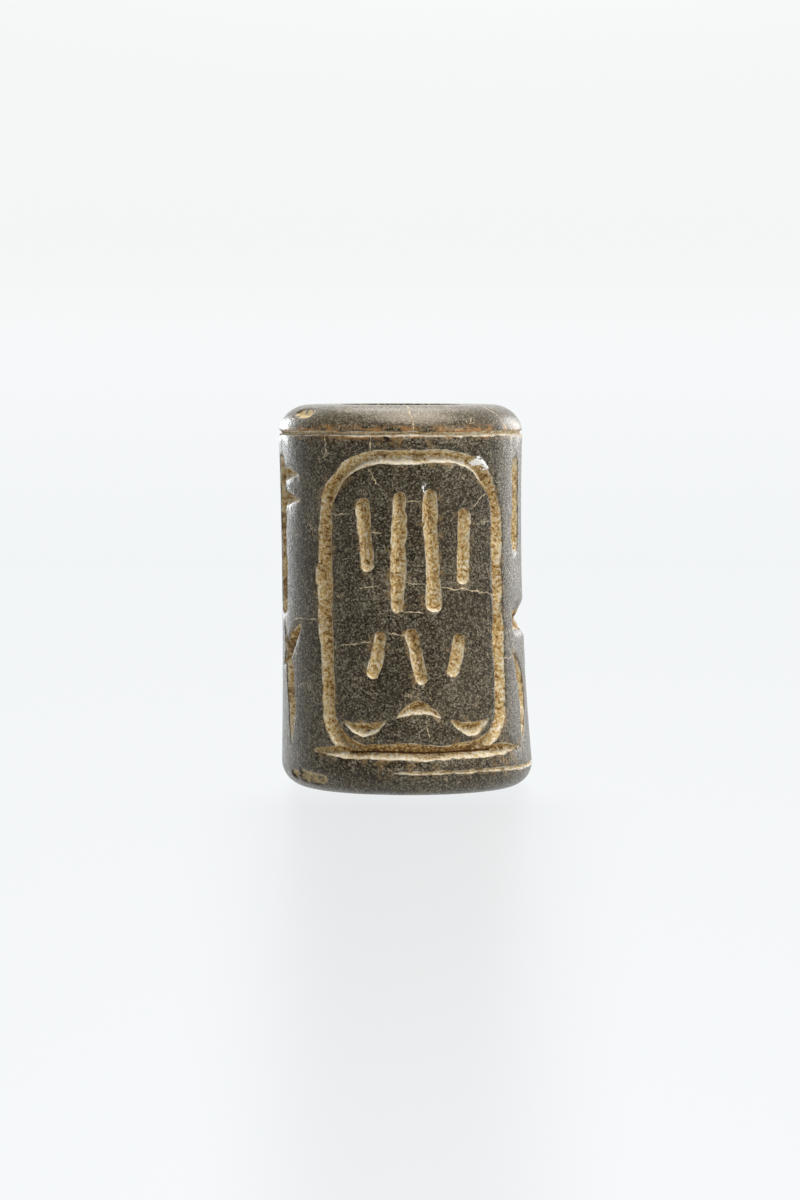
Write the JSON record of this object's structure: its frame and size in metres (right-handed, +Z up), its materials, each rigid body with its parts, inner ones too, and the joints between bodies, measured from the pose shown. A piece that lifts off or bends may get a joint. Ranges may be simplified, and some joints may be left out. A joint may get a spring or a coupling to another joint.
{
  "type": "cylinder seal",
  "caption": "Short stone drum bored from end to end, its wall cut with a framed panel, rows of plain strokes and side columns.",
  "frame": {"origin": "middle of the underside, on the line of the bore", "axes": "+Z up along the bore, -Y out of the front, where the framed panel is, +X to the right of that panel"},
  "size_m": [0.0166, 0.0164, 0.025],
  "materials": {
    "steatite": "worn half polish, earth in the cuts"
  },
  "bodies": {
    "root": {"cylinder_seal": "steatite"}
  },
  "joints": []
}
